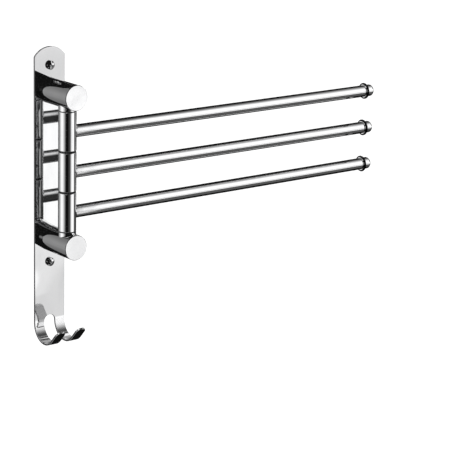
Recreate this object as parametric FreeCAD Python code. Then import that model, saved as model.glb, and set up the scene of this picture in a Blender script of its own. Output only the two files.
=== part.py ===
import FreeCAD, Part
import math
import os

# Swing arm towel bar: three tubes that turn one above the other on an upright rod, which two
# short posts hold in front of a narrow wall plate. The plate's lower end is slit and bent
# forward into a pair of robe hooks.
#
# Millimetres. X runs along the wall, Y into the wall and Z up. The origin is on the plate's
# back face, on its centreline, midway between the posts. At rest the arms point along +X.

# Plate
plate_width = 35.5
plate_thickness = 2.0
plate_top = 118.5            # height of the rounded end above the origin
plate_top_radius = 22.0      # flatter than a half circle
plate_corner_radius = 4.0    # where the rounded end meets the straight sides
plate_edge_radius = 0.4      # polished edge all round the strip

# Hooks
hook_bend_height = -162.0    # where the strip starts to bend forward
hook_bend_radius = 18.5      # outside of the bend
hook_lean = 42.0             # lean of the finger from the vertical, degrees
hook_finger_length = 15.7    # straight part after the bend
hook_slot_width = 13.0
hook_slot_top = -155.8       # crown of the arch between the hooks

# Posts
post_diameter = 25.4
post_wall = 1.5
post_spacing = 150.0
post_reach = 49.0            # front face of the cap to the wall
cap_thickness = 1.5
cap_chamfer = 0.5
cap_spigot_length = 6.0
plug_length = 10.0           # threaded plug pressed into the wall end of a post

# Hinge
hinge_setback = 16.0         # hinge axis behind the front of the caps
barrel_diameter = 18.0
barrel_wall = 1.5
barrel_edge_radius = 0.4
upper_neck_height = 1.8      # shortest height of a collar, over the crown of its post
lower_neck_height = 0.8
rod_diameter = 10.0
bush_flange_thickness = 0.9
bush_flange_inset = 0.4      # the flange stands back this far from the barrel's outside
bush_length = 10.0           # inside the barrel
running_clearance = 0.05     # radial, between a bush and the rod
joint_gap = 0.1              # axial, between one arm and its neighbour

# Arms
arm_count = 3
arm_diameter = 12.7
arm_wall = 1.0
arm_drop = 1.3               # each arm leaves its barrel this far below the middle
arm_reach = 398.3            # hinge axis to the tip of the end stop
stop_tip_length = 10.0
stop_tip_radius = 3.0
stop_rim_thickness = 1.5
stop_rim_diameter = 17.5
stop_rim_bevel_length = 1.1  # along the arm, on the side of the barrel
stop_rim_bevel_height = 0.8
stop_rim_edge_radius = 0.2
stop_spigot_length = 12.0

# Screws
wall_screw_spacing = 200.0
wall_screw_shank = 4.2
wall_screw_neck = 3.8        # plain neck inside the plate
wall_screw_length = 23.0     # behind the plate
wall_screw_point = 5.0       # tapered end
wall_screw_head = 8.8
wall_screw_head_height = 3.5
wall_screw_head_flank = 1.9  # upright part of the head under its dome
wall_screw_clearance = 0.6   # radial, in the plate
cross_width = 1.1
cross_span = 4.4
cross_depth = 1.3
post_screw_shank = 4.0
post_screw_head = 7.6
post_screw_length = 10.0
post_screw_clearance = 0.1   # radial, in the plate
post_screw_key = 2.5         # hexagon key sizes, across flats
post_screw_socket = 1.4      # depth of the key's socket
rod_screw_shank = 5.0
rod_screw_head = 8.5
rod_screw_head_height = 3.0
rod_screw_length = 12.0
rod_screw_clearance = 0.15   # radial, in the post's wall
rod_screw_key = 4.0
rod_screw_socket = 2.0

# Worked out
post_radius = post_diameter / 2
post_bore = post_radius - post_wall
post_height = post_spacing / 2
hinge_reach = post_reach - hinge_setback
barrel_radius = barrel_diameter / 2
barrel_bore = barrel_radius - barrel_wall
rod_radius = rod_diameter / 2
arm_radius = arm_diameter / 2
arm_bore = arm_radius - arm_wall
stack_top = post_height - post_radius - upper_neck_height
stack_bottom = -post_height + post_radius + lower_neck_height
arm_pitch = (stack_top - stack_bottom) / arm_count
barrel_length = arm_pitch - joint_gap - 2 * bush_flange_thickness
rim_start = arm_reach - stop_tip_length - stop_rim_thickness
hook_lean_angle = math.radians(hook_lean)
hook_width = (plate_width - hook_slot_width) / 2

ALONG_X = FreeCAD.Vector(1, 0, 0)
TO_WALL = FreeCAD.Vector(0, 1, 0)
TO_ROOM = FreeCAD.Vector(0, -1, 0)
UP = FreeCAD.Vector(0, 0, 1)


def point(x, y, z):
    return FreeCAD.Vector(x, y, z)


def rod_between(radius, start, direction, length):
    return Part.makeCylinder(radius, length, start, direction)


def turned(outline, base, axis):
    """A turned piece: outline is a list of (radius, height) points and arcs around the axis.
    An arc is given as (radius, height, radius, height), its middle and its end."""
    first = point(outline[0][0], 0, outline[0][1])
    here = first
    edges = []
    for step in outline[1:]:
        if len(step) == 4:
            middle = point(step[0], 0, step[1])
            end = point(step[2], 0, step[3])
            edges.append(Part.Arc(here, middle, end).toShape())
        else:
            end = point(step[0], 0, step[1])
            edges.append(Part.LineSegment(here, end).toShape())
        here = end
    edges.append(Part.LineSegment(here, first).toShape())
    face = Part.Face(Part.Wire(edges))
    solid = face.revolve(point(0, 0, 0), UP, 360)
    solid.Placement = FreeCAD.Placement(base, FreeCAD.Rotation(UP, axis))
    return solid


def corner_arc(centre_radius, centre_height, radius, start, end):
    """Middle and end of a quarter round, between two angles in degrees."""
    middle = (start + end) / 2
    out = []
    for angle in (middle, end):
        turn = math.radians(angle)
        out.append(centre_radius + radius * math.cos(turn))
        out.append(centre_height + radius * math.sin(turn))
    return tuple(out)


def save(name, shape):
    if not shape.isValid():
        raise ValueError(name + " is not a valid solid")
    shape.exportStep("parts/" + name + ".step")


# Back plate and hooks ------------------------------------------------------------------

def strip_side(depth):
    """Side line of the bent strip, this deep inside its back face, from top to fingertip."""
    radius = hook_bend_radius - depth
    sweep = math.pi - hook_lean_angle

    def on_bend(angle):
        y = -hook_bend_radius + radius * math.cos(angle)
        z = hook_bend_height - radius * math.sin(angle)
        return point(-plate_width / 2, y, z)

    bend_end = on_bend(sweep)
    finger = point(0, -math.sin(hook_lean_angle), math.cos(hook_lean_angle))
    return {
        "top": point(-plate_width / 2, -depth, plate_top),
        "bend_start": on_bend(0),
        "bend_middle": on_bend(sweep / 2),
        "bend_end": bend_end,
        "tip": bend_end + finger * hook_finger_length,
    }


def bent_strip():
    back = strip_side(0)
    front = strip_side(plate_thickness)
    edges = [
        Part.LineSegment(back["top"], back["bend_start"]).toShape(),
        Part.Arc(back["bend_start"], back["bend_middle"], back["bend_end"]).toShape(),
        Part.LineSegment(back["bend_end"], back["tip"]).toShape(),
        Part.LineSegment(back["tip"], front["tip"]).toShape(),
        Part.LineSegment(front["tip"], front["bend_end"]).toShape(),
        Part.Arc(front["bend_end"], front["bend_middle"], front["bend_start"]).toShape(),
        Part.LineSegment(front["bend_start"], front["top"]).toShape(),
        Part.LineSegment(front["top"], back["top"]).toShape(),
    ]
    return Part.Face(Part.Wire(edges)).extrude(ALONG_X * plate_width)


def rounded_top_cutter():
    """What the rounded end and its softened corners take off the square strip."""
    half = plate_width / 2
    centre = plate_top - plate_top_radius
    # the corner round touches the side line and the inside of the big round
    corner_x = half - plate_corner_radius
    inner = plate_top_radius - plate_corner_radius
    corner_z = centre + math.sqrt(inner ** 2 - corner_x ** 2)
    lean = math.atan2(corner_z - centre, corner_x)
    touch_x = plate_top_radius * math.cos(lean)
    touch_z = centre + plate_top_radius * math.sin(lean)
    middle_x = corner_x + plate_corner_radius * math.cos(lean / 2)
    middle_z = corner_z + plate_corner_radius * math.sin(lean / 2)
    edges = []
    for side in (1, -1):
        low = point(side * half, 0, corner_z)
        middle = point(side * middle_x, 0, middle_z)
        high = point(side * touch_x, 0, touch_z)
        edges.append(Part.Arc(low, middle, high).toShape())
    right = point(touch_x, 0, touch_z)
    left = point(-touch_x, 0, touch_z)
    edges.append(Part.Arc(right, point(0, 0, plate_top), left).toShape())
    edges.append(Part.LineSegment(point(-half, 0, corner_z), point(half, 0, corner_z)).toShape())
    cap = Part.Face(Part.Wire(Part.__sortEdges__(edges))).extrude(TO_ROOM * plate_thickness)
    height = plate_top - corner_z
    block = Part.makeBox(plate_width, plate_thickness, height,
                         point(-half, -plate_thickness, corner_z))
    return block.cut(cap)


def slot_cutter():
    """The slit between the hooks, with a round crown in the plate and open between the fingers."""
    half = hook_slot_width / 2
    crown = hook_slot_top - half
    foot = hook_bend_height - 2 * hook_bend_radius
    front = hook_bend_radius
    reach = 2 * hook_bend_radius + hook_finger_length
    arch = rod_between(half, point(0, front, crown), TO_ROOM, 2 * front)
    plate_slit = Part.makeBox(hook_slot_width, 2 * front, crown - foot, point(-half, -front, foot))
    finger_slit = Part.makeBox(hook_slot_width, reach, reach, point(-half, -front - reach, foot))
    return arch.fuse([plate_slit, finger_slit]).removeSplitter()


def fingertip_cutter(centre_x):
    """Takes the corners off one finger and leaves a half round end."""
    half = hook_width / 2
    deep = 2 * plate_thickness
    disc = rod_between(half, point(0, deep, 0), TO_ROOM, 2 * deep)
    corners = Part.makeBox(hook_width, 2 * deep, half, point(-half, -deep, 0)).cut(disc)
    tip = strip_side(0)["tip"]
    finger = point(0, -math.sin(hook_lean_angle), math.cos(hook_lean_angle))
    centre = point(centre_x, tip.y, tip.z) - finger * half
    corners.Placement = FreeCAD.Placement(centre, FreeCAD.Rotation(ALONG_X, hook_lean))
    return corners


def soft_edges(strip):
    """The edges round the two wide faces, not those that run across the strip or through it."""
    chosen = []
    for edge in strip.Edges:
        across = abs(edge.tangentAt(edge.FirstParameter).x) > 0.999
        straight = isinstance(edge.Curve, Part.Line)
        if straight and (across or edge.Length < 2 * plate_thickness):
            continue
        chosen.append(edge)
    return chosen


def back_plate():
    plate = bent_strip().cut(rounded_top_cutter()).cut(slot_cutter())
    for side in (-1, 1):
        plate = plate.cut(fingertip_cutter(side * (hook_slot_width + hook_width) / 2))
    plate = plate.removeSplitter()
    plate = plate.makeFillet(plate_edge_radius, soft_edges(plate))
    through = 3 * plate_thickness
    for side in (-1, 1):
        behind = point(0, plate_thickness, side * wall_screw_spacing / 2)
        hole = rod_between(wall_screw_shank / 2 + wall_screw_clearance, behind, TO_ROOM, through)
        behind = point(0, plate_thickness, side * post_height)
        shank = rod_between(post_screw_shank / 2 + post_screw_clearance, behind, TO_ROOM, through)
        plate = plate.cut(hole).cut(shank).cut(post_screw_cone(side))
    return plate


# Posts ---------------------------------------------------------------------------------

def post_screw_cone(side):
    """Countersunk head, flush with the back of the plate."""
    head = post_screw_head / 2
    shank = post_screw_shank / 2
    return Part.makeCone(head, shank, head - shank, point(0, 0, side * post_height), TO_ROOM)


def post_screws():
    both = []
    for side in (-1, 1):
        shank = rod_between(post_screw_shank / 2, point(0, 0, side * post_height), TO_ROOM,
                            post_screw_length)
        screw = post_screw_cone(side).fuse(shank).removeSplitter()
        socket = hexagon(post_screw_key, post_screw_socket, point(0, 0, side * post_height),
                         TO_ROOM)
        both.append(screw.cut(socket))
    return Part.makeCompound(both)


def hexagon(key, depth, start, direction):
    """Key socket: a six-sided hole, sunk from the face of a head."""
    corner = key / 2 / math.cos(math.pi / 6)
    ring = []
    for step in range(7):
        angle = math.radians(60 * step)
        ring.append(point(corner * math.cos(angle), corner * math.sin(angle), 0))
    prism = Part.Face(Part.makePolygon(ring)).extrude(UP * depth)
    prism.Placement = FreeCAD.Placement(start, FreeCAD.Rotation(UP, direction))
    return prism


def post(side):
    start = point(0, -plate_thickness, side * post_height)
    length = post_reach - plate_thickness - cap_thickness
    tube = rod_between(post_radius, start, TO_ROOM, length)
    tube = tube.cut(rod_between(post_bore, start, TO_ROOM, length))
    # hole for the screw into the rod, through the wall that faces the rod
    inwards = UP * -side
    centre = point(0, -hinge_reach, side * post_height)
    return tube.cut(rod_between(rod_screw_shank / 2 + rod_screw_clearance, centre, inwards,
                                post_diameter))


def post_plug(side):
    start = point(0, -plate_thickness, side * post_height)
    plug = rod_between(post_bore, start, TO_ROOM, plug_length)
    return plug.cut(rod_between(post_screw_shank / 2, start, TO_ROOM, plug_length))


def post_cap(side):
    low = post_reach - cap_thickness
    outline = [
        (0, low - cap_spigot_length),
        (post_bore, low - cap_spigot_length),
        (post_bore, low),
        (post_radius, low),
        (post_radius, post_reach - cap_chamfer),
        (post_radius - cap_chamfer, post_reach),
        (0, post_reach),
    ]
    return turned(outline, point(0, 0, side * post_height), TO_ROOM)


# Hinge ---------------------------------------------------------------------------------

def post_outside(side):
    return rod_between(post_radius, point(0, 0, side * post_height), TO_ROOM, post_reach)


def pivot_rod():
    rod = rod_between(rod_radius, point(0, -hinge_reach, -post_height), UP, post_spacing)
    for side in (-1, 1):
        rod = rod.cut(post_outside(side)).cut(rod_screw(side))
    return rod


def rod_screw(side):
    """Screw from inside a post into the end of the rod. Its head bridges the tube's curve."""
    head = rod_screw_head / 2
    seat = post_height - math.sqrt(post_bore ** 2 - head ** 2)
    inwards = UP * -side
    start = point(0, -hinge_reach, side * seat)
    shank = rod_between(rod_screw_shank / 2, start, inwards, rod_screw_length)
    cheese = rod_between(head, start, inwards * -1, rod_screw_head_height)
    top = start - inwards * rod_screw_head_height
    socket = hexagon(rod_screw_key, rod_screw_socket, top, inwards)
    return cheese.fuse(shank).removeSplitter().cut(socket)


def rod_screws():
    return Part.makeCompound([rod_screw(-1), rod_screw(1)])


def collar(side):
    """Neck between a post and the first barrel, hollowed to sit on the round of the post."""
    start = point(0, -hinge_reach, stack_top if side > 0 else stack_bottom)
    outwards = UP * side
    ring = rod_between(barrel_radius, start, outwards, post_radius)
    ring = ring.cut(rod_between(rod_radius, start, outwards, post_radius))
    return ring.cut(post_outside(side))


def barrel_height(number):
    return stack_top - arm_pitch * (number + 0.5)


def barrel(number):
    low = -barrel_length / 2
    high = barrel_length / 2
    soft = barrel_edge_radius
    outline = [
        (barrel_bore, low),
        (barrel_radius - soft, low),
        corner_arc(barrel_radius - soft, low + soft, soft, -90, 0),
        (barrel_radius, high - soft),
        corner_arc(barrel_radius - soft, high - soft, soft, 0, 90),
        (barrel_bore, high),
    ]
    return turned(outline, point(0, -hinge_reach, barrel_height(number)), UP)


def bush(number, side):
    """Flanged sleeve that lines one end of a barrel. Its flange carries the arm above."""
    inner = rod_radius + running_clearance
    start = barrel_length / 2
    outline = [
        (inner, start - bush_length),
        (barrel_bore, start - bush_length),
        (barrel_bore, start),
        (barrel_radius - bush_flange_inset, start),
        (barrel_radius - bush_flange_inset, start + bush_flange_thickness),
        (inner, start + bush_flange_thickness),
    ]
    return turned(outline, point(0, -hinge_reach, barrel_height(number)), UP * side)


# Arms ----------------------------------------------------------------------------------

def arm_height(number):
    return barrel_height(number) - arm_drop


def arm_tube(number):
    start = point(0, -hinge_reach, arm_height(number))
    tube = rod_between(arm_radius, start, ALONG_X, rim_start)
    tube = tube.cut(rod_between(arm_bore, start, ALONG_X, rim_start))
    # the end is coped to the barrel and welded to it
    foot = start - UP * arm_diameter
    return tube.cut(rod_between(barrel_radius, foot, UP, 2 * arm_diameter))


def end_stop(number):
    rim_end = rim_start + stop_rim_thickness
    rim = stop_rim_diameter / 2
    soft = stop_rim_edge_radius
    outline = [
        (0, rim_start - stop_spigot_length),
        (arm_bore, rim_start - stop_spigot_length),
        (arm_bore, rim_start),
        (rim - stop_rim_bevel_height, rim_start),
        (rim, rim_start + stop_rim_bevel_length),
        (rim, rim_end - soft),
        corner_arc(rim - soft, rim_end - soft, soft, 0, 90),
        (arm_radius, rim_end),
        (arm_radius, arm_reach - stop_tip_radius),
        corner_arc(arm_radius - stop_tip_radius, arm_reach - stop_tip_radius, stop_tip_radius,
                   0, 90),
        (0, arm_reach),
    ]
    return turned(outline, point(0, -hinge_reach, arm_height(number)), ALONG_X)


# Wall screws ---------------------------------------------------------------------------

def wall_screw(side):
    seat = -plate_thickness
    head = wall_screw_head / 2
    shank = wall_screw_shank / 2
    flank = seat - wall_screw_head_flank
    crown = seat - wall_screw_head_height
    # height of the dome's middle point, on the circle through the flank and the crown
    rise = wall_screw_head_height - wall_screw_head_flank
    dome = (head ** 2 + rise ** 2) / (2 * rise)
    middle = math.asin(head / dome) / 2
    dome_middle = (dome * math.sin(middle), crown + dome * (1 - math.cos(middle)))
    outline = [
        (0, crown),
        (dome_middle[0], dome_middle[1], head, flank),
        (head, seat),
        (wall_screw_neck / 2, seat),
        (wall_screw_neck / 2, 0),
        (shank, 0),
        (shank, wall_screw_length - wall_screw_point),
        (0, wall_screw_length),
    ]
    place = point(0, 0, side * wall_screw_spacing / 2)
    screw = turned(outline, place, TO_WALL)
    for width, span in ((cross_width, cross_span), (cross_span, cross_width)):
        bar = Part.makeBox(width, cross_depth, span)
        bar.translate(place + point(-width / 2, crown, -span / 2))
        screw = screw.cut(bar)
    return screw


# Write every piece ---------------------------------------------------------------------

os.makedirs("parts", exist_ok=True)
save("back_plate", back_plate())
for place, side in (("upper", 1), ("lower", -1)):
    save(place + "_post", post(side))
    save(place + "_post_cap", post_cap(side))
    save(place + "_post_plug", post_plug(side))
    save(place + "_collar", collar(side))
save("post_screws", post_screws())
save("pivot_rod", pivot_rod())
save("rod_screws", rod_screws())
save("wall_screws", Part.makeCompound([wall_screw(-1), wall_screw(1)]))
for number, place in enumerate(("upper", "middle", "lower")):
    save(place + "_arm_barrel", barrel(number))
    save(place + "_arm_top_bush", bush(number, 1))
    save(place + "_arm_bottom_bush", bush(number, -1))
    save(place + "_arm_tube", arm_tube(number))
    save(place + "_arm_end_stop", end_stop(number))
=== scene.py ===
import math

import bmesh
import bpy
from mathutils import Matrix, Vector


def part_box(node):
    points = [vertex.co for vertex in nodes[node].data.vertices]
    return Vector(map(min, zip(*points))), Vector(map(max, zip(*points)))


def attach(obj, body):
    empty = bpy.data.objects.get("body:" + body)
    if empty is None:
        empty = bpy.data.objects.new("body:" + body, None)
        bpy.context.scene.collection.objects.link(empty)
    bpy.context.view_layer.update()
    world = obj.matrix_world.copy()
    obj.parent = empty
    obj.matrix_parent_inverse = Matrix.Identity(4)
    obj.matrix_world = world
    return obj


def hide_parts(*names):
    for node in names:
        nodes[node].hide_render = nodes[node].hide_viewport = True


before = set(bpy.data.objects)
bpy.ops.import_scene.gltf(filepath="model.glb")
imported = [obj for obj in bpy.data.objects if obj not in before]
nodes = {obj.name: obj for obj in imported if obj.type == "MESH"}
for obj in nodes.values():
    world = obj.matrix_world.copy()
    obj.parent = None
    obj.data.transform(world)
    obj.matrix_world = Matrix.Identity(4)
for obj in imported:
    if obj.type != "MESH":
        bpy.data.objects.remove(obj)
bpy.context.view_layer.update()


# Back plate ----------------------------------------------------------------------------
# One strip of 2 mm stainless steel, rounded at the top, slit at the foot and bent forward
# into two robe hooks. The front and the edges are belt polished along the strip and buffed
# to a mirror. The back, which lies on the wall, keeps the dull grain of the rolled sheet.

MM = 0.001


class Shade:
    """A socket in a tree of nodes. Sums on it add Math nodes, and node() adds any other."""

    def __init__(self, tree, socket=None):
        self.tree = tree
        self.socket = socket

    def node(self, kind, settings=None, values=None, out=0):
        made = self.tree.nodes.new(kind)
        for name, setting in (settings or {}).items():
            setattr(made, name, setting)
        for name, value in (values or {}).items():
            if isinstance(value, Shade):
                self.tree.links.new(value.socket, made.inputs[name])
            else:
                made.inputs[name].default_value = value
        socket = made.outputs[out] if made.outputs else None
        return Shade(self.tree, socket)

    def also(self, name):
        """Another output of the node that this socket belongs to."""
        return Shade(self.tree, self.socket.node.outputs[name])

    def maths(self, operation, *values):
        return self.node("ShaderNodeMath", {"operation": operation}, dict(enumerate(values)))

    def __add__(self, other):
        return self.maths("ADD", self, other)

    def __radd__(self, other):
        return self.maths("ADD", other, self)

    def __sub__(self, other):
        return self.maths("SUBTRACT", self, other)

    def __rsub__(self, other):
        return self.maths("SUBTRACT", other, self)

    def __mul__(self, other):
        return self.maths("MULTIPLY", self, other)

    def __rmul__(self, other):
        return self.maths("MULTIPLY", other, self)

    def __truediv__(self, other):
        return self.maths("DIVIDE", self, other)

    def __pow__(self, other):
        return self.maths("POWER", self, other)

    def ramp(self, low, high, bottom=0.0, top=1.0):
        """Goes smoothly from bottom to top as this value goes from low to high."""
        values = {"Value": self, "From Min": low, "From Max": high,
                  "To Min": bottom, "To Max": top}
        return self.node("ShaderNodeMapRange", {"interpolation_type": "SMOOTHSTEP"}, values)

    def vector(self, x, y, z):
        return self.node("ShaderNodeCombineXYZ", values={"X": x, "Y": y, "Z": z})

    def noise(self, place, scale, detail=2.0):
        values = {"Vector": place, "Scale": scale, "Detail": detail}
        return self.node("ShaderNodeTexNoise", values=values)

    def blend(self, share, first, second):
        """A colour between two others."""
        values = {0: share, 6: first, 7: second}
        return self.node("ShaderNodeMix", {"data_type": "RGBA"}, values, out=2)


def new_material(name):
    material = bpy.data.materials.new(name)
    material.use_nodes = True
    material.node_tree.nodes.clear()
    return material, Shade(material.node_tree)


def surface(shade, colour, metallic, roughness, height, depth, constants=None):
    """Ends a material: one Principled shader, with a bump this deep in metres."""
    bump = shade.node("ShaderNodeBump", values={
        "Height": height, "Distance": depth, "Strength": 1.0})
    values = {"Base Color": colour, "Metallic": metallic, "Roughness": roughness, "Normal": bump}
    values.update(constants or {})
    shader = shade.node("ShaderNodeBsdfPrincipled", values=values)
    shade.node("ShaderNodeOutputMaterial", values={"Surface": shader})


def dress(node, material):
    for slot in nodes[node].material_slots:
        slot.material = material


STEEL_LIGHT = (0.90, 0.90, 0.905, 1)
STEEL_SHADE = (0.84, 0.842, 0.85, 1)
ROLLED_STEEL = (0.58, 0.58, 0.575, 1)
# painted shade: the dark colour of the plate's sheared sides
SHEARED_SIDE_SHADE = (0.16, 0.16, 0.165, 1)
BUMP = 0.02 * MM

# how far the front face leans from upright, and the heights at which a lean starts or ends
LEAN = math.tan(math.radians(1.4))
SIDE_LEAN = math.tan(math.radians(1.9))
HOOK_LEAN = math.tan(math.radians(3.0))
HOOK_START = -132.0 * MM
HOOK_EASE = 14.0 * MM
BEND_LEAN = math.tan(math.radians(5.0))
BEND_START = -156.0 * MM
BEND_EASE = 4.0 * MM
BEND_END = -163.0 * MM
SIDE_LEAN_SPAN = (-150 * MM, -100 * MM)


def plate_steel():
    material, shade = new_material("plate_steel")
    place = shade.node("ShaderNodeTexCoord", out="Object")
    parts = shade.node("ShaderNodeSeparateXYZ", values={0: place})
    across = parts
    depth = parts.also("Y")
    along = parts.also("Z")
    # belt grain runs up the strip, and it is dragged round the bend with the metal
    grain = shade.noise(shade.vector(across * 2600, depth * 2600, along * 45), 1.0, 3.0)
    smear = shade.noise(shade.vector(across * 60, depth * 60, along * 22), 1.0, 3.0)
    sheet = shade.noise(place, 34.0, 2.0)
    rolled = shade.noise(shade.vector(across * 900, depth * 900, along * 60), 1.0, 4.0)
    back = depth.ramp(-0.25 * MM, -0.05 * MM)
    polished = 0.028 + 0.03 * grain + 0.035 * smear.ramp(0.5, 0.8)
    dull = 0.30 + 0.16 * rolled
    roughness = polished + back * (dull - polished)
    colour = shade.blend(smear.ramp(0.35, 0.75), STEEL_LIGHT, STEEL_SHADE)
    colour = shade.blend(back, colour, ROLLED_STEEL)
    # the sheared sides are duller than the faces, and their colour is painted darker, a painted
    # shade
    normal = shade.node("ShaderNodeTexCoord", out="Normal")
    sideways = shade.node("ShaderNodeSeparateXYZ", values={0: normal})
    sheared = sideways.maths("ABSOLUTE", sideways).ramp(0.75, 0.95)
    roughness = roughness + sheared * 0.22
    colour = shade.blend(sheared, colour, SHEARED_SIDE_SHADE)

    def tilted(start, ease, slope):
        """The rise of a face that tilts by this slope below a height, over an easing length."""
        below = (start - along).maths("MAXIMUM", start - along, 0.0)
        reach = below.maths("MINIMUM", below, ease)
        return slope / ease * reach * (below - 0.5 * reach)

    # the strip leans a little as it was bent, most of all just above the hooks
    bow = LEAN * along - tilted(HOOK_START, HOOK_EASE, HOOK_LEAN)
    bow = bow + tilted(BEND_START, BEND_EASE, BEND_LEAN) - tilted(BEND_END, BEND_EASE, BEND_LEAN)
    bow = bow + SIDE_LEAN * across * along.ramp(*SIDE_LEAN_SPAN)
    height = 0.02 * grain + 0.9 * sheet + back * rolled * 0.5 + bow / BUMP
    surface(shade, colour, 1.0, roughness, height, BUMP)
    return material


dress("back_plate", plate_steel())


# Posts ---------------------------------------------------------------------------------
# Two short lengths of 25.4 mm stainless tube stand out from the plate. Each is held by a
# countersunk zinc plated screw from behind, into a brass plug pressed into the tube.

RINGS_PER_METRE = 2200
# painted shade: the near black that the edges of the end stop rims are painted
PAINTED_RIM_SHADE = (0.012, 0.012, 0.013, 1)


def round_steel(name, axis, centre, haze=0.03, ripple=0.35, polish=0.026, dark_from=1.0):
    """Steel that was polished while it turned about an axis: fine rings round its sides and
    over its ends, a thin haze where the buff left off, and a few hairline scratches. Beyond
    the radius dark_from it is rougher, and its colour is painted near black, a painted shade."""
    material, shade = new_material(name)
    place = shade.node("ShaderNodeTexCoord", out="Object")
    offset = tuple(-c for c in centre)
    moved = shade.node("ShaderNodeVectorMath", {"operation": "ADD"}, {0: place, 1: offset})
    parts = shade.node("ShaderNodeSeparateXYZ", values={0: moved})
    found = {"X": parts, "Y": parts.also("Y"), "Z": parts.also("Z")}
    along = found.pop(axis)
    side, other = found.values()
    radius = (side * side + other * other) ** 0.5
    angle = other.maths("ARCTAN2", other, side)
    across = shade.vector(along * RINGS_PER_METRE, radius * RINGS_PER_METRE, angle * 0.4)
    rings = shade.noise(across, 1.0, 3.0)
    cloud = shade.noise(moved, 55.0, 3.0)
    around = shade.vector(angle * 1.2, along * 34, radius * 34)
    wave = shade.noise(around, 1.0, 1.0)
    scratch = shade.noise(shade.vector(angle * 3, along * 1500, radius * 1500), 1.0, 1.0)
    worn = scratch.ramp(0.72, 0.8)
    roughness = polish + 0.03 * rings + haze * cloud.ramp(0.45, 0.8) + 0.05 * worn
    colour = shade.blend(cloud.ramp(0.3, 0.8), STEEL_LIGHT, STEEL_SHADE)
    # painted shade: beyond the radius dark_from the colour is painted near black
    dark = radius.ramp(dark_from, dark_from * 1.03)
    colour = shade.blend(dark, colour, PAINTED_RIM_SHADE)
    roughness = roughness + 0.2 * dark
    height = 0.02 * rings + ripple * wave - 0.05 * worn
    surface(shade, colour, 1.0, roughness, height, BUMP)
    return material


def plated(name, colour, tint):
    """Bright zinc: a soft grey with faint yellow and blue clouds."""
    material, shade = new_material(name)
    place = shade.node("ShaderNodeTexCoord", out="Object")
    cloud = shade.noise(place, 420.0, 3.0)
    speck = shade.noise(place, 2600.0, 2.0)
    tone = shade.blend(cloud.ramp(0.35, 0.7), colour, tint)
    surface(shade, tone, 1.0, 0.24 + 0.16 * speck, 0.6 * speck + cloud, 0.01 * MM)
    return material


def turned_brass():
    material, shade = new_material("turned_brass")
    place = shade.node("ShaderNodeTexCoord", out="Object")
    cuts = shade.node("ShaderNodeSeparateXYZ", values={0: place}, out="Y")
    rings = (cuts * 14000).maths("SINE", cuts * 14000)
    cloud = shade.noise(place, 160.0, 3.0)
    tone = shade.blend(cloud.ramp(0.3, 0.75), (0.80, 0.61, 0.30, 1), (0.62, 0.45, 0.22, 1))
    surface(shade, tone, 1.0, 0.22 + 0.12 * cloud, rings, 0.01 * MM)
    return material


brass = turned_brass()
zinc = plated("bright_zinc", (0.66, 0.665, 0.68, 1), (0.66, 0.62, 0.52, 1))
for place_name in ("upper", "lower"):
    low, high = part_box(place_name + "_post")
    post_axis = (low + high) / 2
    post_steel = round_steel(place_name + "_post_steel", "Y", post_axis)
    dress(place_name + "_post", post_steel)
    dress(place_name + "_post_plug", brass)
dress("post_screws", zinc)


# Post caps -----------------------------------------------------------------------------
# A turned steel disc with a fine chamfer closes the front of each post. Its spigot is
# pressed into the tube, and its face is buffed flat, so it mirrors the room in front.

for place_name in ("upper", "lower"):
    low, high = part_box(place_name + "_post_cap")
    cap_centre = (low + high) / 2
    cap_steel = round_steel(place_name + "_cap_steel", "Y", cap_centre, ripple=0.1, polish=0.05)
    dress(place_name + "_post_cap", cap_steel)


# Pivot rod and its screws --------------------------------------------------------------
# A ground steel rod stands between the posts, and a zinc plated screw inside each post
# holds its end. A saddle shaped collar at each end keeps the barrels clear of the post.


def ground_steel():
    material, shade = new_material("ground_steel")
    place = shade.node("ShaderNodeTexCoord", out="Object")
    parts = shade.node("ShaderNodeSeparateXYZ", values={0: place})
    lead = shade.vector(parts * 90, parts.also("Y") * 90, parts.also("Z") * 3800)
    lines = shade.noise(lead, 1.0, 4.0)
    oil = shade.noise(place, 90.0, 2.0)
    tone = shade.blend(oil, (0.70, 0.70, 0.71, 1), (0.56, 0.56, 0.57, 1))
    surface(shade, tone, 1.0, 0.16 + 0.14 * lines, lines, 0.008 * MM)
    return material


dress("pivot_rod", ground_steel())
dress("rod_screws", zinc)
rod_low, rod_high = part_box("pivot_rod")
hinge = (rod_low + rod_high) / 2
for place_name in ("upper", "lower"):
    dress(place_name + "_collar", round_steel(place_name + "_collar_steel", "Z", hinge))


# Arm barrels and their bushes ----------------------------------------------------------
# Each arm ends in a short length of 18 mm tube that turns on the rod. A black nylon bush
# with a flange is pushed into each end, and the flanges show as dark lines in the joints.


def black_nylon():
    material, shade = new_material("black_nylon")
    place = shade.node("ShaderNodeTexCoord", out="Object")
    grain = shade.noise(place, 3200.0, 3.0)
    rub = shade.noise(place, 260.0, 3.0).ramp(0.5, 0.75)
    tone = shade.blend(rub, (0.012, 0.012, 0.013, 1), (0.03, 0.03, 0.032, 1))
    roughness = 0.42 + 0.18 * grain - 0.12 * rub
    surface(shade, tone, 0.0, roughness, grain, 0.015 * MM, {"Specular IOR Level": 0.4})
    return material


nylon = black_nylon()
arm_names = ("upper_arm", "middle_arm", "lower_arm")
for arm in arm_names:
    dress(arm + "_barrel", round_steel(arm + "_barrel_steel", "Z", hinge))
    dress(arm + "_top_bush", nylon)
    dress(arm + "_bottom_bush", nylon)


# Arm tubes -----------------------------------------------------------------------------
# Three lengths of 12.7 mm stainless tube, polished while they turned. The barrel end is
# coped to fit the round of the barrel, welded, and the weld is dressed to a small fillet.

WELD_LEG = 0.8 * MM
WELD_ROOT = 0.25 * MM
WELD_STEPS = 96
WELD_CURVE = 6


def bridge(mesh, first, second):
    """Joins two closed rows of points with a ring of faces."""
    for k in range(len(first)):
        after = (k + 1) % len(first)
        mesh.faces.new((first[k], first[after], second[after], second[k]))


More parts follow.
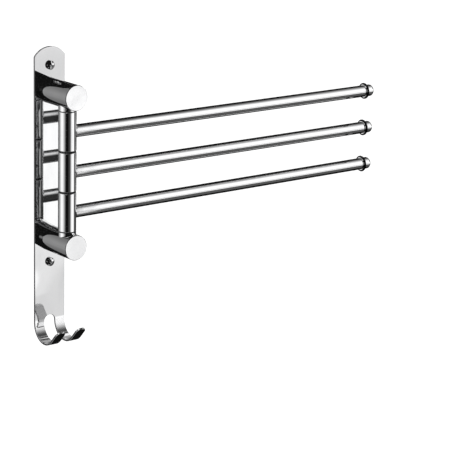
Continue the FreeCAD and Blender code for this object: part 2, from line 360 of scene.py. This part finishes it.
def smooth_mesh(name, mesh):
    """The mesh as data, with smooth faces that look outward."""
    bmesh.ops.recalc_face_normals(mesh, faces=mesh.faces)
    for face in mesh.faces:
        face.smooth = True
    data = bpy.data.meshes.new(name)
    mesh.to_mesh(data)
    mesh.free()
    return data


def placed(name, data):
    """A new object in the scene that shows this data."""
    thing = bpy.data.objects.new(name, data)
    bpy.context.scene.collection.objects.link(thing)
    return thing


def weld_ring(name, centre, barrel_radius, tube_radius):
    """A closed ring of weld in the corner between the tube and the barrel."""

    def corner(turn, radius):
        side = radius * math.cos(turn)
        reach = math.sqrt(barrel_radius ** 2 - side ** 2)
        return Vector((reach, side, radius * math.sin(turn)))

    mesh = bmesh.new()
    rows = []
    for step in range(WELD_STEPS):
        turn = 2 * math.pi * step / WELD_STEPS
        bend = corner(turn, tube_radius)
        on_tube = bend + Vector((WELD_LEG, 0, 0))
        on_barrel = corner(turn, tube_radius + WELD_LEG)
        row = []
        for part in range(WELD_CURVE + 1):
            t = part / WELD_CURVE
            row.append((1 - t) ** 2 * on_tube + 2 * t * (1 - t) * bend + t ** 2 * on_barrel)
        row.append(corner(turn, tube_radius - WELD_ROOT) - Vector((WELD_ROOT, 0, 0)))
        rows.append([mesh.verts.new(point + centre) for point in row])
    for first, second in zip(rows, rows[1:] + rows[:1]):
        bridge(mesh, first, second)
    return placed(name, smooth_mesh(name, mesh))


for arm in arm_names:
    tube_low, tube_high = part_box(arm + "_tube")
    tube_radius = (tube_high.z - tube_low.z) / 2
    barrel_low, barrel_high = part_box(arm + "_barrel")
    barrel_radius = (barrel_high.x - barrel_low.x) / 2
    centre = Vector((0, hinge.y, (tube_low.z + tube_high.z) / 2))
    tube_steel = round_steel(arm + "_tube_steel", "X", centre, ripple=0.2, polish=0.03)
    dress(arm + "_tube", tube_steel)
    weld = weld_ring(arm + "_weld", centre, barrel_radius, tube_radius)
    weld.data.materials.append(tube_steel)
    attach(weld, arm)


# End stops -----------------------------------------------------------------------------
# A turned steel plug closes the free end of each arm. Its thin rim keeps a towel from
# sliding off, and the rim's edge is painted near black, a painted shade. The rounded nose
# stands out past it.

# the share of the rim's radius beyond which its edge is painted near black, a painted shade
RIM_DARK_SHARE = 0.775

for arm in arm_names:
    low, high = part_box(arm + "_end_stop")
    stop_centre = (low + high) / 2
    dark_from = RIM_DARK_SHARE * (high.z - low.z) / 2
    stop_steel = round_steel(arm + "_stop_steel", "X", stop_centre, dark_from=dark_from)
    dress(arm + "_end_stop", stop_steel)


# Wall screws ---------------------------------------------------------------------------
# Two stainless screws with domed heads and cross recesses hold the plate to the wall, one
# above the posts and one below. The shanks are rolled with a coarse thread and a point.

screw_low, screw_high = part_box("wall_screws")
HEAD_RADIUS = screw_high.x
SCREW_SPACING = 2 * (screw_high.z - HEAD_RADIUS)
SCREW_CROWN = screw_low.y
SCREW_TIP = screw_high.y
SCREW_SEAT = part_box("upper_post")[1].y
HEAD_FLANK = 1.9 * MM
HEAD_SOFT = 0.25 * MM
HEAD_RINGS = 44
NECK_RADIUS = 1.5 * MM
NECK_STEP = 0.3 * MM

RECESS_SPAN = 1.7 * MM
RECESS_WIDTH = 0.36 * MM
RECESS_DEPTH = 1.2 * MM
RECESS_SOFT = 0.12 * MM
RECESS_TAPER = 0.6

POINT_LENGTH = 7.0 * MM
POINT_WAIST = 0.55           # of the core's radius, where the point narrows faster
POINT_WAIST_FROM_TIP = 0.4   # of the point's length
POINT_END_RADIUS = 0.15 * MM
POINT_END_LENGTH = 0.2 * MM

THREAD_RADIUS = 2.1 * MM
THREAD_ROOT = 1.45 * MM
THREAD_PITCH = 1.8 * MM
THREAD_STOP = 1.0 * MM       # short of the tip
THREAD_RUN_IN = 60           # the ridge swells over one part in so many of its length
THREAD_POINTS = 900
RIDGE_RADIUS = 0.45 * MM
RIDGE_LEAST = 0.15           # of its radius, at the end of the point
RIDGE_SIDES = 6

SCREW_SIDES = 96
SHARP_FROM = math.radians(35)


def dome_depth(radius):
    """How far the dome falls behind its crown at this radius."""
    rise = SCREW_SEAT - HEAD_FLANK - SCREW_CROWN
    ball = (HEAD_RADIUS ** 2 + rise ** 2) / (2 * rise)
    return ball - math.sqrt(ball ** 2 - radius ** 2)


def smooth_step(value, low, high):
    t = min(max((value - low) / (high - low), 0), 1)
    return t * t * (3 - 2 * t)


def recess_depth(x, z):
    """Depth of the cross: four tapered wings that meet in a deep middle."""
    deepest = 0
    for along, across in ((abs(x), abs(z)), (abs(z), abs(x))):
        wing = 1 - smooth_step(across, RECESS_WIDTH - RECESS_SOFT, RECESS_WIDTH + RECESS_SOFT)
        end = 1 - smooth_step(along, RECESS_SPAN - 2 * RECESS_SOFT, RECESS_SPAN)
        taper = RECESS_DEPTH * (1 - RECESS_TAPER * along / RECESS_SPAN)
        deepest = max(deepest, wing * end * taper)
    return deepest


def screw_body():
    """One screw on the Y axis, without its thread: a domed head, a neck and a pointed core."""
    core_end = SCREW_TIP - POINT_LENGTH
    outline = [
        (HEAD_RADIUS, SCREW_SEAT - HEAD_FLANK),
        (HEAD_RADIUS, SCREW_SEAT - HEAD_SOFT),
        (HEAD_RADIUS - HEAD_SOFT, SCREW_SEAT),
        (NECK_RADIUS, SCREW_SEAT),
        (NECK_RADIUS, 0),
        (THREAD_ROOT, NECK_STEP),
        (THREAD_ROOT, core_end),
        (THREAD_ROOT * POINT_WAIST, SCREW_TIP - POINT_LENGTH * POINT_WAIST_FROM_TIP),
        (POINT_END_RADIUS, SCREW_TIP - POINT_END_LENGTH),
    ]
    dome = [(HEAD_RADIUS * step / HEAD_RINGS, None) for step in range(1, HEAD_RINGS)]
    mesh = bmesh.new()
    rings = []
    for radius, y in dome + outline:
        ring = []
        for side in range(SCREW_SIDES):
            turn = 2 * math.pi * side / SCREW_SIDES
            x = radius * math.cos(turn)
            z = radius * math.sin(turn)
            if y is None:
                height = SCREW_CROWN + dome_depth(radius) + recess_depth(x, z)
            else:
                height = y
            ring.append(mesh.verts.new((x, height, z)))
        rings.append(ring)
    crown = mesh.verts.new((0, SCREW_CROWN + RECESS_DEPTH, 0))
    tip = mesh.verts.new((0, SCREW_TIP, 0))
    for first, second in zip(rings, rings[1:]):
        bridge(mesh, first, second)
    for k in range(SCREW_SIDES):
        after = (k + 1) % SCREW_SIDES
        mesh.faces.new((crown, rings[0][after], rings[0][k]))
        mesh.faces.new((tip, rings[-1][k], rings[-1][after]))
    data = smooth_mesh("wall_screw_body", mesh)
    data.set_sharp_from_angle(angle=SHARP_FROM)
    return data


def thread_tree(material):
    """Sweeps a ridge round the core, fades it to the point, and sets out both screws."""
    tree = bpy.data.node_groups.new("wall_screw_thread", "GeometryNodeTree")
    sockets = tree.interface
    sockets.new_socket("Screw", in_out="INPUT", socket_type="NodeSocketGeometry")
    for label in ("Length", "Radius", "Pitch", "Point", "Ridge", "Spacing"):
        sockets.new_socket(label, in_out="INPUT", socket_type="NodeSocketFloat")
    sockets.new_socket("Screws", in_out="OUTPUT", socket_type="NodeSocketGeometry")
    shade = Shade(tree)
    given = shade.node("NodeGroupInput", out="Screw")
    length = given.also("Length")
    point = given.also("Point")
    line = shade.node("GeometryNodeCurvePrimitiveLine")
    line = shade.node("GeometryNodeResampleCurve", values={
        "Curve": line, "Count": THREAD_POINTS})
    share = shade.node("GeometryNodeSplineParameter", out="Factor")
    travel = share * length
    left = (length - travel) / point
    fade = left.maths("MINIMUM", left, 1.0)
    turn = travel / given.also("Pitch") * (2 * math.pi)
    reach = given.also("Radius") * fade
    x = reach * turn.maths("COSINE", turn)
    z = reach * turn.maths("SINE", turn)
    helix = shade.node("GeometryNodeSetPosition", values={
        "Geometry": line, "Position": shade.vector(x, travel, z)})
    swell = share * THREAD_RUN_IN
    swell = swell.maths("MINIMUM", swell, 1.0)
    helix = shade.node("GeometryNodeSetCurveRadius", values={
        "Curve": helix, "Radius": swell * (RIDGE_LEAST + (1 - RIDGE_LEAST) * fade)})
    section = shade.node("GeometryNodeCurvePrimitiveCircle", values={
        "Resolution": RIDGE_SIDES, "Radius": given.also("Ridge")})
    ridge = shade.node("GeometryNodeCurveToMesh", values={
        "Curve": helix, "Profile Curve": section, "Fill Caps": True})
    whole = shade.node("GeometryNodeJoinGeometry")
    for piece in (given, ridge):
        tree.links.new(piece.socket, whole.socket.node.inputs[0])
    half = given.also("Spacing") * 0.5
    ends = shade.node("GeometryNodeMeshLine", {"mode": "END_POINTS"}, {
        "Count": 2,
        "Start Location": shade.vector(0.0, 0.0, 0.0 - half),
        "Offset": shade.vector(0.0, 0.0, half)})
    both = shade.node("GeometryNodeInstanceOnPoints", values={"Points": ends, "Instance": whole})
    real = shade.node("GeometryNodeRealizeInstances", values={"Geometry": both})
    done = shade.node("GeometryNodeSetMaterial", values={"Geometry": real, "Material": material})
    shade.node("NodeGroupOutput", values={"Screws": done})
    return tree


def settled(thing):
    """Turns the object's modifiers into plain mesh."""
    depsgraph = bpy.context.evaluated_depsgraph_get()
    data = bpy.data.meshes.new_from_object(thing.evaluated_get(depsgraph))
    thing.modifiers.clear()
    thing.data = data
    return thing


upper_centre = (0, 0, SCREW_SPACING / 2)
screw_steel = round_steel("screw_steel", "Y", upper_centre, haze=0.05, ripple=0.2)
screws = placed("wall_screws_threaded", screw_body())
threading = screws.modifiers.new("thread", "NODES")
threading.node_group = thread_tree(screw_steel)
thread_sizes = {
    "Length": SCREW_TIP - THREAD_STOP,
    "Radius": THREAD_RADIUS - RIDGE_RADIUS,
    "Pitch": THREAD_PITCH,
    "Point": POINT_LENGTH,
    "Ridge": RIDGE_RADIUS,
    "Spacing": SCREW_SPACING,
}
for item in threading.node_group.interface.items_tree:
    if item.name in thread_sizes:
        threading[item.identifier] = thread_sizes[item.name]
settled(screws)
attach(screws, "wall_frame")
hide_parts("wall_screws")


# Studio --------------------------------------------------------------------------------
# A plain pale floor well below the bar, and soft boxes to the right and the left. Between
# them the room is dark, which draws the black lines that polished tube shows.

FLOOR_DROP = 1.2
FLOOR_SIZE = 24.0
FLOOR_COLOUR = (0.86, 0.86, 0.86, 1)
FLOOR_GLOW = 0.35            # added where the camera sees the floor
WHITE = (1, 1, 1, 1)

# strengths of the lights, where 1 is the white behind the bar
DARK = 0.006
RIGHT_BOX = 1.25
LEFT_BOX = 1.1
GREY_WALL = 0.14
LOW_RIGHT = 0.10
CEILING = 0.75
LONG_BOXES = 0.9
FLOOR_LIGHT = 0.35
FAR_BEHIND = 0.6
FAR_LEFT = 0.9
SCREW_WALL = 0.03
SCREW_SMALL_BOX = 1.22
SCREW_TALL_BOX = 0.9
SCREW_FLOOR = 0.5
BELT_DARK = 0.004
BELT_LEFT = 1.15
BELT_RIGHT = 1.25
BELT_RIGHT_GLOW = 0.05
BELT_LEFT_GLOW = 0.25
STAND = 0.3
BACKS_DARK = 0.035
BACKS_STRIP = 0.85
FRONT_PALE = 0.76
FRONT_WHITE = 0.26
FRONT_STEP = 0.1
HOOK_WALL = 1.1
HOOK_WALL_TOP = 0.07         # of the wall's strength
HOOK_STRIP = 1.0
HOOK_STRIP_BEHIND = 0.34
CAP_WHITE = 1.2
CAP_PALE = 0.75
RIM_END = 1.1
PLAIN_ROOM = 0.9             # what all that isn't a mirror is lit by

# lift over which the top edges of the front, and of its white part, fade
FRONT_TOP = (-14.3, -14.0)
FRONT_WHITE_TOP = (-16.1, -15.9)


def pale_floor():
    material, shade = new_material("pale_floor")
    seen = shade.node("ShaderNodeLightPath", out="Is Camera Ray")
    matt = shade.node("ShaderNodeBsdfDiffuse", values={"Color": FLOOR_COLOUR})
    glow = shade.node("ShaderNodeEmission", values={"Color": WHITE, "Strength": FLOOR_GLOW})
    lifted = shade.node("ShaderNodeAddShader", values={0: matt, 1: glow})
    both = shade.node("ShaderNodeMixShader", values={0: seen, 1: matt, 2: lifted})
    shade.node("ShaderNodeOutputMaterial", values={"Surface": both})
    return material


def flat_square(name, size, height):
    half = size / 2
    signs = [(-1, -1), (1, -1), (1, 1), (-1, 1)]
    corners = [(x * half, y * half, height) for x, y in signs]
    data = bpy.data.meshes.new(name)
    data.from_pydata(corners, [], [(0, 1, 2, 3)])
    return placed(name, data)


floor = flat_square("floor", FLOOR_SIZE, -FLOOR_DROP)
floor.data.materials.append(pale_floor())
floor.visible_glossy = False


def studio_light():
    """The room as the metal sees it. Directions are in degrees: compass from +X by way of +Y,
    height above level, and lift, which turns about X from the front by way of overhead."""
    world = bpy.data.worlds.new("studio")
    bpy.context.scene.world = world
    world.use_nodes = True
    world.node_tree.nodes.clear()
    shade = Shade(world.node_tree)
    way = shade.node("ShaderNodeTexCoord", out="Generated")
    along = shade.node("ShaderNodeSeparateXYZ", values={0: way})
    away = along.also("Y")
    up = along.also("Z")
    height = up.maths("ARCSINE", up) * math.degrees(1)
    lift = up.maths("ARCTAN2", up, away * -1.0) * math.degrees(1) + 450.0
    lift = lift.maths("FLOORED_MODULO", lift, 360.0) - 90.0

    def compass(middle):
        """The compass angle, counted from this one, from -180 to 180."""
        angle = away.maths("ARCTAN2", away, along) * math.degrees(1) + (540.0 - middle)
        return angle.maths("FLOORED_MODULO", angle, 360.0) - 180.0

    def between(value, rise, fall, start=0.0):
        """Fades in over the first pair of values and out over the second."""
        low = value.ramp(rise[0] - start, rise[1] - start)
        high = value.ramp(fall[0] - start, fall[1] - start, 1.0, 0.0)
        return low * high

    def panel(left, right, bottom=(-75, -60), top=(60, 75)):
        """A patch of light, with the pairs of angles over which its four sides fade."""
        middle = (left[0] + right[1]) / 2
        return between(compass(middle), left, right, middle) * between(height, bottom, top)

    def laid_over(room, share, value):
        """The room, with this share of it replaced by a value."""
        return room + share * (value - room)

    def patch(sides, ends):
        """A patch by the pairs of X of its two sides, and the pairs of lift of its two ends."""
        return between(along, *sides) * between(lift, *ends)

    # two large soft boxes, dark above the front, and a grey wall behind the posts
    right_box = panel((283, 305), (330, 395), (-22, 7), (28, 64))
    dark_ahead = patch([(-0.5, -0.4), (0.5425, 0.5450)], [FRONT_TOP, (105, 118)])
    left_box = panel((126, 150), (186, 206), (-28, -21), (18, 32))
    grey_wall = panel((91, 97), (150, 160), (-60, -40), (40, 60))
    low_right = panel((290, 304), (335, 350), (-75, -65), (-24, -12))
    wall_light = GREY_WALL + GREY_WALL * between(height, (-45, 0), (0, 45))
    room = laid_over(DARK + RIGHT_BOX * right_box, dark_ahead, DARK)
    room = room + LEFT_BOX * left_box + wall_light * grey_wall + LOW_RIGHT * low_right
    # a pale ceiling, long boxes beside it, a floor, and lit walls far behind and far left
    aside = 1.0 - between(along, (0.22, 0.28), (0.672, 0.684))
    boxes = aside * between(height, (38, 46), (60, 68)) * between(lift, (62, 74), (132, 140))
    far_behind = aside * away.ramp(0.835, 0.865)
    far_left = along.ramp(-0.62, -0.70) * away.ramp(-0.59, -0.63)
    far_left = far_left * between(lift, (-27, -22), (40, 50))
    room = room + CEILING * height.ramp(66, 84) + LONG_BOXES * boxes
    room = room + FLOOR_LIGHT * aside * height.ramp(-46, -58)
    room = room + FAR_BEHIND * far_behind + FAR_LEFT * far_left
    # two boxes and a floor in a dark room on the right, for the domes of the wall screws
    small_box = between(height, (-11, -6), (9, 18)) * away.ramp(-0.08, -0.2)
    tall_box = between(height, (3, 8), (19, 25)) * away.ramp(0.06, 0.14)
    right_wall = SCREW_WALL + SCREW_SMALL_BOX * small_box + SCREW_TALL_BOX * tall_box
    right_wall = right_wall + SCREW_FLOOR * height.ramp(-42, -54)
    room = laid_over(room, along.ramp(0.675, 0.70), right_wall)
    # the belt that the barrels mirror: both boxes, with a fainter light beside each
    level = between(height, (-17.0, -16.3), (-11.4, -10.9))
    belt = BELT_DARK + BELT_LEFT * between(compass(160), (116, 164), (165, 223), 160)
    belt = belt + BELT_RIGHT * between(compass(310), (268, 304), (314, 341), 310)
    belt = belt + BELT_RIGHT_GLOW * between(compass(300), (242, 262), (384, 410), 300)
    belt = belt + BELT_LEFT_GLOW * between(compass(110), (91, 97), (116, 140), 110)
    room = laid_over(room, level, belt)
    # a light stand, low down behind the bar on the right
    stand = between(compass(40), (28, 36), (42, 50), 40)
    room = room + STAND * stand * between(height, (-20, -19), (-14.5, -13.5))
    # for the backs of the arms: a dark wall, and a light strip overhead
    backs = between(along, (0.460, 0.462), (0.4895, 0.491))
    room = laid_over(room, backs * between(lift, (-11, -9), (250, 265)), BACKS_DARK)
    room = room + BACKS_STRIP * backs * between(lift, (64, 114), (118, 160))
    # for the plate: a front that is pale low down and white behind the barrels
    front = FRONT_PALE + FRONT_WHITE * between(lift, (-20.6, -20.45), FRONT_WHITE_TOP)
    front = front + FRONT_STEP * between(lift, (-23.2, -21.2), FRONT_WHITE_TOP)
    plate_sees = patch([(0.455, 0.460), (0.549, 0.552)], [(-46, -44), FRONT_TOP])
    room = laid_over(room, plate_sees, front)
    # for the hooks: a wall that darkens upward, and a white and a pale strip overhead
    white = HOOK_WALL * lift.ramp(-8, 62, 1.0, HOOK_WALL_TOP)
    white = white + HOOK_STRIP * between(lift, (92, 99), (114, 126))
    white = white + HOOK_STRIP_BEHIND * between(lift, (114, 126), (150, 160))
    hooks_see = patch([(0.5145, 0.5155), (0.536, 0.538)], [FRONT_TOP, (200, 220)])
    room = laid_over(room, hooks_see, white)
    # for the two caps: a white patch and, lower down, a pale one
    cap_white = patch([(0.545, 0.546), (0.557, 0.558)], [(-14.9, -14.7), (-13.2, -13.0)])
    cap_pale = patch([(0.5380, 0.5386), (0.5475, 0.548)], [(-19.8, -19.6), (-18.2, -18.0)])
    room = laid_over(laid_over(room, cap_white, CAP_WHITE), cap_pale, CAP_PALE)
    # for the rims of the end stops: the bright end of the left box
    rim_end = panel((130.0, 130.6), (134.0, 134.6), (-18, -17), (-8, -7))
    room = laid_over(room, rim_end, RIM_END)
    # only mirrors see the room, the camera sees white, and the rest is lit evenly
    paths = shade.node("ShaderNodeLightPath", out="Is Camera Ray")
    mirrored = paths.also("Is Glossy Ray")
    light = PLAIN_ROOM + mirrored * (room - PLAIN_ROOM)
    light = light + paths * (1.0 - light)
    sky = shade.node("ShaderNodeBackground", values={"Color": WHITE, "Strength": light})
    shade.node("ShaderNodeOutputWorld", values={"Surface": sky})


studio_light()


# Camera --------------------------------------------------------------------------------
# A long lens to the left of the bar and above it, at the photograph's angle.

CAMERA_PLACE = Vector((-1083.17, -1641.72, 469.72)) * MM
CAMERA_TURN = 0.6782
CAMERA_PITCH = -0.2680
CAMERA_ROLL = 0.0258
CAMERA_LENS = 155.46
CAMERA_SENSOR = 36.0
CAMERA_CLIP = (0.05, 60.0)

camera_data = bpy.data.cameras.new("camera")
camera_data.lens = CAMERA_LENS
camera_data.sensor_width = CAMERA_SENSOR
camera_data.clip_start, camera_data.clip_end = CAMERA_CLIP
camera = placed("camera", camera_data)
turned = Matrix.Rotation(-CAMERA_TURN, 4, "Z")
tilted = Matrix.Rotation(math.pi / 2 + CAMERA_PITCH, 4, "X")
rolled = Matrix.Rotation(CAMERA_ROLL, 4, "Z")
camera.matrix_world = Matrix.Translation(CAMERA_PLACE) @ turned @ tilted @ rolled
bpy.context.scene.camera = camera
bpy.context.scene.view_settings.view_transform = "Standard"
